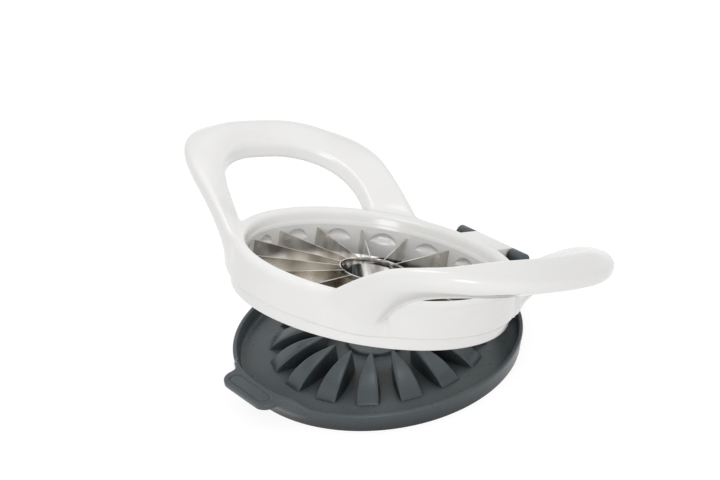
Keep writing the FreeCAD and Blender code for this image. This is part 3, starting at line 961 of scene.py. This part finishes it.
@dataclass
class LowerRing:
    """White lower ring under the parting line."""

    inner: float = 50.26
    outer: float = 55.5
    foot: float = 55.2
    height: float = 4.8
    steps: int = 256

    def section(self) -> list[Pair]:
        """List the corners of the ring's section."""
        inner, outer, foot, top = self.inner, self.outer, self.foot, self.height
        return [
            (inner, 0.25), (inner + 0.08, 0.08), (inner + 0.25, 0.0), (foot - 0.6, 0.0), (foot - 0.25, 0.1),
            (foot - 0.06, 0.3), (foot, 0.6), (outer - 0.02, top - 0.3), (outer - 0.1, top - 0.02),
            (outer - 0.4, top), (inner + 0.25, top), (inner, top),
        ]

    def build(self, finish: Material) -> Piece:
        """Turn and dress the ring."""
        mesh = mesh_of("lower_ring", *turned(self.section(), self.steps))
        return piece_of("lower_ring", mesh, finish, Body.HEAD, ["retaining_ring"])


@dataclass
class CoreSleeve:
    """Steel coring ring with a fine rounded top edge and a bevelled foot."""

    inner: float = 13.35
    outer: float = 13.97
    low: float = 1.4
    top: float = 11.02
    bevel: float = 0.8
    steps: int = 192

    def section(self) -> list[Pair]:
        """List the corners of the sleeve's section."""
        inner, outer, low, top = self.inner, self.outer, self.low, self.top
        return [
            (inner, low), (inner + 0.2, low), (outer, low + self.bevel), (outer, 4.0), (outer, 8.0),
            (outer, top - 0.2), (outer - 0.06, top - 0.05), (outer - 0.18, top), (inner + 0.18, top),
            (inner + 0.06, top - 0.05), (inner, top - 0.2), (inner, 8.0), (inner, 4.0),
        ]

    def build(self, finish: Material) -> Piece:
        """Turn and dress the sleeve."""
        mesh = mesh_of("core_sleeve", *turned(self.section(), self.steps))
        return piece_of("core_sleeve", mesh, finish, Body.HEAD, ["core_ring"])


@dataclass
class Hinge:
    """Hinge at the back: white barrel on the head, grey ears and their foot on the base."""

    back: float = 64.16
    head_axis: float = 15.21
    base_axis: float = 18.51
    radius: float = 3.0
    barrel_half: float = 11.0
    gap: float = 0.35
    ear_length: float = 8.0
    arm: float = 2.6
    arm_foot: float = 5.0
    arm_top: float = 11.0
    arm_lean: float = 0.3
    arm_angle: float = -35.0
    web: float = 55.4
    rim_height: float = 7.8
    seat: float = 56.9
    corner: float = 3.0
    edge: float = 0.45
    arc_steps: int = 25
    corner_steps: int = 9
    seat_steps: int = 17

    def knuckle(self, axis: float, start: float, end: float) -> list[Pair]:
        """List points round the pin between two angles in degrees."""
        turns = np.radians(np.linspace(start, end, self.arc_steps))
        return [(self.back + self.radius * math.cos(t), axis + self.radius * math.sin(t)) for t in turns]

    def build_barrel(self, finish: Material) -> Piece:
        """Make and dress the white barrel and its web.

        Args:
            finish: White plastic.
        Returns:
            The piece.
        """
        axis = self.head_axis
        low, high = axis - self.radius, axis + self.radius
        outline = [(self.web, low), *self.knuckle(axis, -90.0, 90.0), (self.web, high)]
        mesh = mesh_of("hinge_barrel", *extruded(outline, -self.barrel_half, self.barrel_half, 0))
        bevelled(mesh, self.edge)
        return piece_of("hinge_barrel", mesh, finish, Body.HEAD)

    def build_ears(self, finish: Material) -> list[Piece]:
        """Make and dress the two grey ears and the foot that carries them.

        Args:
            finish: Grey plastic.
        Returns:
            The pieces.
        """
        pieces = []
        inner = self.barrel_half + self.gap
        outer = inner + self.ear_length
        front = self.back - self.radius
        rear = front + self.arm
        side = [(front, self.arm_foot), (rear, self.arm_foot), (rear + self.arm_lean, self.arm_top),
                *self.knuckle(self.base_axis, self.arm_angle, 180.0)]
        for name, low, high in (("ear_right", inner, outer), ("ear_left", -outer, -inner)):
            mesh = bevelled(mesh_of(name, *extruded(side, low, high, 0)), self.edge)
            pieces.append(piece_of(name, mesh, finish, Body.BASE))
        turns = np.radians(np.linspace(0.0, 90.0, self.corner_steps))
        round_x = outer - self.corner + self.corner * np.cos(turns)
        round_y = rear - self.corner + self.corner * np.sin(turns)
        right = list(zip(round_x, round_y))
        plan = right + [(-x, y) for x, y in right[::-1]]
        for turn in np.linspace(-1.0, 1.0, self.seat_steps):
            angle = turn * math.asin(outer / self.seat)
            plan.append((self.seat * math.sin(angle), self.seat * math.cos(angle)))
        mesh = bevelled(mesh_of("ear_foot", *extruded(plan, 0.0, self.rim_height, 2)), self.edge)
        pieces.append(piece_of("ear_foot", mesh, finish, Body.BASE))
        return pieces


@dataclass
class Tray:
    """Grey base: rimmed tray with a centre boss, and a pull tab on a raised stretch of rim."""

    rim: float = 58.0
    rim_height: float = 7.8
    draft: float = 1.3
    floor: float = 2.4
    boss: float = 12.4
    boss_height: float = 4.8
    tab_rise: float = 3.9
    tab_wall: float = 1.3
    tab_half: float = 14.5
    tab_reach: float = 66.4
    tab_corner: float = 5.0
    tab_thickness: float = 2.4
    tab_root: float = 50.0
    tab_blend: float = 3.0
    tab_arc: float = 17.0
    tab_columns: int = 150
    rim_columns: int = 280
    wall_foot: float = 0.5
    wall_rise: float = 6.8
    lean_zone: Pair = (3.4, 2.6)
    rise_from: float = 17.0
    rise_to: float = 26.0
    mark_centre: float = 62.0
    mark_half: float = 8.9
    mark_radius: float = 2.45
    mark_depth: float = 0.4
    mark_width: float = 0.36
    mark_flat: float = 1.35
    edge: float = 0.42
    tab_start: float = 1.5
    top_rows: int = 34
    crease: float = 60.0

    def turns(self) -> Points:
        """List the angles of the columns, close together at the tab."""
        half = math.radians(self.tab_arc)
        fine = np.linspace(-half, half, self.tab_columns)
        coarse = np.linspace(half, 2.0 * math.pi - half, self.rim_columns)[1:-1]
        return np.concatenate([fine, coarse]) - math.pi / 2.0

    def plan(self, turns: Points, wall: Points) -> Points:
        """Find how far out the top edge runs at each angle.

        Args:
            turns: Column angles.
            wall: Radius of the plain wall at each angle.
        Returns:
            The reach at each angle.
        """
        # Halve the stretch between the wall and a ring past the tab until the edge is found.
        low, high = wall - 0.5, np.full_like(wall, 70.0)
        half_long = (self.tab_reach - self.tab_root) / 2.0
        for _ in range(40):
            reach = (low + high) / 2.0
            x, y = reach * np.cos(turns), reach * np.sin(turns)
            across = np.abs(x) - self.tab_half + self.tab_corner
            along = np.abs(y + self.tab_root + half_long) - half_long + self.tab_corner
            plate = np.hypot(np.maximum(across, 0.0), np.maximum(along, 0.0))
            plate += np.minimum(np.maximum(across, along), 0.0) - self.tab_corner
            inside = smooth_min(reach - wall, plate, self.tab_blend) < 0
            low, high = np.where(inside, reach, low), np.where(inside, high, reach)
        return np.minimum(low, self.tab_reach / np.maximum(-np.sin(turns), 0.5))

    def mark(self, x: Points, y: Points) -> Points:
        """Give the depth of the plain racetrack groove."""
        past = np.maximum(np.abs(x) - self.mark_half, 0.0)
        away = np.hypot(past, y + self.mark_centre) - self.mark_radius
        return self.mark_depth * ease(self.mark_flat - np.abs(away) / self.mark_width)

    def rows(self, turns: Points) -> list[tuple[Points, Points]]:
        """List radius and height of each row, from the boss out, over the rim and under.

        Args:
            turns: Column angles.
        Returns:
            Rows of radii and heights.
        """
        one = np.ones_like(turns)
        aside = self.rim * np.abs(np.cos(turns))
        beside = 1.0 - ease((aside - self.rise_from) / (self.rise_to - self.rise_from))
        rise = np.where(np.sin(turns) < 0, beside, 0.0)
        wall_top = self.rim + self.tab_wall * rise
        top = self.rim_height + self.tab_rise * rise
        reach = np.maximum(self.plan(turns, wall_top), wall_top)
        extra = reach - wall_top

        def wall(z: Points) -> Points:
            """Give the outer wall's radius at a height."""
            up = np.clip((z - self.wall_foot) / self.wall_rise, 0.0, 1.0)
            return self.rim - self.draft * (1.0 - up) + self.tab_wall * rise * fade(z, self.lean_zone)

        boss, floor = self.boss_height, self.floor
        bowl = ((4.0, boss), (9.0, boss), (11.5, boss), (12.0, 4.74), (12.28, 4.5), (self.boss, 4.1),
                (12.5, 3.0), (12.75, 2.58), (13.4, floor), (20.0, floor), (30.0, floor), (40.0, floor),
                (48.0, floor), (53.6, floor), (54.7, 2.44), (55.3, 2.66), (55.62, 3.2), (55.86, 4.8),
                (56.08, 6.2))
        rows = [(r * one, z * one) for r, z in bowl]
        # Inner edge of the rim: first where it is plain, then where it is raised at the tab.
        inner = (((56.25, 6.9), (56.3, 6.9)), ((56.33, 7.3), (56.45, 7.4)), ((56.42, 7.52), (56.9, 7.66)),
                 ((56.53, 7.67), (57.4, 7.85)), ((56.66, 7.76), (57.64, 8.4)),
                 ((56.8, 7.79), (57.72, 11.0)), ((56.95, 7.8), (57.84, 11.5)), ((57.1, 7.8), (58.15, 11.7)))
        for (r0, z0), (r1, z1) in inner:
            rows.append((r0 + (r1 - r0) * rise, z0 + (z1 - z0) * rise))
        start = rows[-1][0]
        end = reach - self.edge
        for share in np.linspace(0.0, 1.0, self.top_rows)[1:]:
            r = start + (end - start) * share
            groove = self.mark(r * np.cos(turns), r * np.sin(turns)) * ease(extra / self.tab_start)
            rows.append((r, top - groove))
        for inset, drop in ((0.22, 0.06), (0.07, 0.19), (0.0, self.edge), (0.0, 1.2)):
            rows.append((reach - inset, top - drop))
        # Under the tab: share of its overhang kept, step back and step down.
        below = ((1.0, 0.0, -self.edge), (1.0, 0.07, -0.19), (1.0, 0.22, -0.06), (1.0, 0.5, 0.0),
                 (0.0, -0.9, 0.0), (0.0, -0.35, 0.1), (0.0, -0.1, 0.35), (0.0, 0.0, 0.9))
        for keep, back, drop in below:
            z = top - (self.tab_thickness + drop)
            shift = extra * keep - back * np.minimum(extra / self.tab_start, 1.0)
            rows.append((wall(z) + np.maximum(shift, 0.0), z))
        floor_z = rows[-1][1]
        for share in (0.25, 0.5, 0.75, 1.0):
            z = floor_z + (0.6 - floor_z) * share
            rows.append((wall(z), z))
        foot = self.rim - self.draft
        heel = ((foot - 0.06, 0.3), (foot - 0.2, 0.1), (foot - 0.5, 0.0), (40.0, 0.0))
        return rows + [(r * one, z * one) for r, z in heel]

    def build(self, finish: Material) -> Piece:
        """Mesh and dress the tray.

        Args:
            finish: Grey plastic.
        Returns:
            The piece.
        """
        turns = self.turns()
        rows = self.rows(turns)
        count = len(turns)
        points = [(0.0, 0.0, self.boss_height), (0.0, 0.0, 0.0)]
        for radius, height in rows:
            points += list(zip(radius * np.cos(turns), radius * np.sin(turns), height))
        last = len(points) - count
        faces = strip_faces(len(rows), count, 2)
        for index in range(count):
            following = (index + 1) % count
            faces += [(0, 2 + index, 2 + following), (1, last + following, last + index)]
        mesh = mesh_of("tray", points, faces, self.crease)
        return piece_of("tray", mesh, finish, Body.BASE, ["base_tray"])


@dataclass
class PusherFingers:
    """Sixteen grey wedge fingers that push the pieces out between the blades."""

    copies: int = 16
    reach: Pair = (20.9, 43.8)
    heights: Pair = (11.1, 2.2)
    curve: Pair = (2.2, 0.75)
    widths: tuple[Pair, ...] = ((20.9, 0.6), (27.8, 4.7), (34.9, 7.2), (43.8, 8.8))
    narrowest: float = 0.6
    draft: float = 0.1
    sunk: float = 1.6
    floor: float = 2.4
    edge: float = 1.5
    edge_squash: float = 0.7
    crown: float = 0.05
    steps: int = 30
    weld: float = 0.0005
    crease: float = 50.0

    def section(self, width: float, height: float) -> list[Pair]:
        """List one cross-section from the left foot over the top to the right foot.

        Args:
            width: Width of the finger.
            height: Height of its top.
        Returns:
            (y, z) points.
        """
        half = width / 2.0
        # The rounding shrinks where the finger is narrow or low.
        edge = min(self.edge, half * 0.9, max(height - 2.0, 0.2))
        foot = half + self.draft * (height - self.sunk)
        knee = min(self.floor, height - edge - 0.05)
        fall = edge * self.edge_squash
        points = [(foot, self.sunk), (half + 0.6 * (foot - half), knee), (half, height - edge)]
        for turn in np.radians([15.0, 30.0, 45.0, 60.0, 75.0, 90.0]):
            points.append((half - edge + edge * math.cos(turn), height - fall + fall * math.sin(turn)))
        points.append(((half - edge) * 0.5, height + self.crown))
        return points + [(-y, z) for y, z in points[::-1]]

    def shape(self) -> Mesh:
        """Mesh one finger along its length.

        Returns:
            The mesh.
        """
        tip, toe = self.reach
        high, low = self.heights
        bend, steepness = self.curve
        width_curve = np.polyfit(*zip(*self.widths), 3)
        points = []
        for share in np.sin(np.linspace(0.0, np.pi / 2.0, self.steps)):
            radius = tip + (toe - tip) * share
            width = max(float(np.polyval(width_curve, radius)), self.narrowest)
            height = low + (high - low) * max(1.0 - share ** bend, 0.0) ** steepness
            points += [(radius, y, z) for y, z in self.section(width, height)]
        size = len(points) // self.steps
        faces = [tuple(range(size)), tuple(range(len(points) - size, len(points)))[::-1]]
        faces += strip_faces(self.steps, size)
        mesh = bpy.data.meshes.new("finger")
        mesh.from_pydata(points, [], faces)
        return mesh

    def build(self, repeat: RadialRepeat, finish: Material) -> Piece:
        """Repeat the finger round the tray and dress it."""
        mesh = repeat.spread(self.shape(), self.copies, self.weld, finish, self.crease)
        return piece_of("pusher_fingers", mesh, finish, Body.BASE)


@dataclass
class SteelParts:
    """Blades and hinge pin, whose frame shapes are kept and dressed."""

    blades: int = 16
    pin: str = "hinge_pin"

    def dress(self, blade_finish: Material, pin_finish: Material) -> None:
        """Give the blades and the pin their finishes.

        Args:
            blade_finish: Blade steel.
            pin_finish: Pin steel.
        """
        finishes = {f"blade_{number:02d}": blade_finish for number in range(1, self.blades + 1)}
        finishes[self.pin] = pin_finish
        for name, finish in finishes.items():
            for slot in frame["nodes"][name].material_slots:
                slot.material = finish
            LOG.info("%s: dressed", name)


@dataclass
class Studio:
    """Camera, soft light and a plain pale floor."""

    azimuth: float = 54.05
    elevation: float = 29.05
    roll: float = 6.49
    target: Place = (-0.04145, 0.02676, 0.022)
    distance: float = 0.61583
    lens: float = 72.587
    sensor: float = 36.0
    fill: float = 0.67
    fill_colour: tuple[float, ...] = (1.0, 0.99, 0.98, 1.0)
    lamps: tuple[tuple[str, Place, float, float], ...] = (
        ("key", (0.8, -0.75, 0.55), 0.45, 3.2), ("mouth", (0.0, 0.0, 0.16), 0.06, 0.03))
    floor_size: float = 6.0
    floor_drop: float = 1e-5
    floor_lit: tuple[float, ...] = (0.85, 0.85, 0.85, 1.0)
    floor_seen: tuple[float, ...] = (0.25, 0.25, 0.25, 1.0)
    floor_glow: float = 0.86

    def back(self) -> Vector:
        """Give the direction from the target to the camera."""
        turn, tip = math.radians(self.azimuth), math.radians(self.elevation)
        return Vector((math.sin(turn) * math.cos(tip), -math.cos(turn) * math.cos(tip), math.sin(tip)))

    def add_camera(self) -> None:
        """Set the camera at the photograph's viewing angle."""
        data = bpy.data.cameras.new("camera")
        data.sensor_fit = "HORIZONTAL"
        data.sensor_width = self.sensor
        data.lens = self.lens
        data.clip_start = 0.01
        camera = stand("camera", data)
        camera.location = Vector(self.target) + self.back() * self.distance
        aim = (-self.back()).to_track_quat("-Z", "Y")
        camera.rotation_mode = "QUATERNION"
        camera.rotation_quaternion = aim @ Quaternion((0.0, 0.0, 1.0), -math.radians(self.roll))
        bpy.context.scene.camera = camera

    @staticmethod
    def show(tree: Tree, lights: Node, looks: Node, output: str) -> None:
        """Light the object with one shader and show another where the shader itself is seen.

        Args:
            tree: The tree to complete.
            lights: The shader for plain light rays.
            looks: The shader for camera, glossy and transmission rays.
            output: Type of the tree's output node.
        """
        path = add_node(tree, "ShaderNodeLightPath")
        either = add_node(tree, "ShaderNodeMath", operation="MAXIMUM")
        every = add_node(tree, "ShaderNodeMath", operation="MAXIMUM")
        mix = add_node(tree, "ShaderNodeMixShader")
        join(tree, (path, "Is Camera Ray", either, 0), (path, "Is Glossy Ray", either, 1),
             (either, "Value", every, 0), (path, "Is Transmission Ray", every, 1),
             (every, "Value", mix, "Fac"), (lights, 0, mix, 1), (looks, 0, mix, 2),
             (mix, "Shader", add_node(tree, output), "Surface"))

    def add_world(self) -> None:
        """Fill the room with even soft light in front of a white background."""
        world = bpy.data.worlds.new("studio")
        bpy.context.scene.world = world
        tree = bare_tree(world)
        fill = add_node(tree, "ShaderNodeBackground", {"Color": self.fill_colour, "Strength": self.fill})
        white = add_node(tree, "ShaderNodeBackground", {"Color": (1.0, 1.0, 1.0, 1.0), "Strength": 1.0})
        self.show(tree, fill, white, "ShaderNodeOutputWorld")

    @staticmethod
    def add_lamp(name: str, place: Place, size: float, energy: float) -> None:
        """Hang one soft round lamp that points at the object.

        Args:
            name: The lamp's name.
            place: Where it hangs, in metres.
            size: Its width in metres.
            energy: Its power in watts.
        """
        data = bpy.data.lights.new(name, "AREA")
        data.shape = "DISK"
        data.size = size
        data.energy = energy
        lamp = stand(name, data)
        lamp.location = place
        lamp.rotation_mode = "QUATERNION"
        lamp.rotation_quaternion = (-lamp.location).to_track_quat("-Z", "Y")
        lamp.visible_camera = False

    def add_floor(self) -> None:
        """Lay the pale floor, which keeps the object's soft shadow."""
        half = self.floor_size / 2.0
        corners = [(x * half, y * half, -self.floor_drop) for x, y in ((-1, -1), (1, -1), (1, 1), (-1, 1))]
        mesh = bpy.data.meshes.new("floor")
        mesh.from_pydata(corners, [], [(0, 1, 2, 3)])
        floor = stand("floor", mesh)
        material = bpy.data.materials.new("floor")
        tree = bare_tree(material)
        lit = add_node(tree, "ShaderNodeBsdfDiffuse", {"Color": self.floor_lit})
        shade = add_node(tree, "ShaderNodeBsdfDiffuse", {"Color": self.floor_seen})
        glow = add_node(tree, "ShaderNodeEmission", {"Strength": self.floor_glow})
        both = add_node(tree, "ShaderNodeAddShader")
        join(tree, (shade, "BSDF", both, 0), (glow, "Emission", both, 1))
        self.show(tree, lit, both, "ShaderNodeOutputMaterial")
        mesh.materials.append(material)

    def build(self) -> None:
        """Set up the whole studio."""
        self.add_camera()
        self.add_world()
        for lamp in self.lamps:
            self.add_lamp(*lamp)
        self.add_floor()
        bpy.context.scene.view_settings.view_transform = "Standard"
        LOG.info("studio: ready")


def main() -> None:
    """Build and dress every sub-assembly."""
    logging.basicConfig(level=logging.INFO, format="%(name)s %(message)s")
    white = WHITE_PLASTIC.make()
    grey = GREY_PLASTIC.make()
    blade = BLADE_STEEL.make()
    core = CORE_STEEL.make()
    pin = PIN_STEEL.make()
    repeat = RadialRepeat()
    hinge = Hinge()
    FrameShell().build(white)
    MouthLiner().build(repeat, white)
    LowerRing().build(white)
    hinge.build_barrel(white)
    CoreSleeve().build(core)
    SteelParts().dress(blade, pin)
    Tray().build(grey)
    PusherFingers().build(repeat, grey)
    hinge.build_ears(grey)
    Studio().build()


if __name__ == "__main__":
    main()
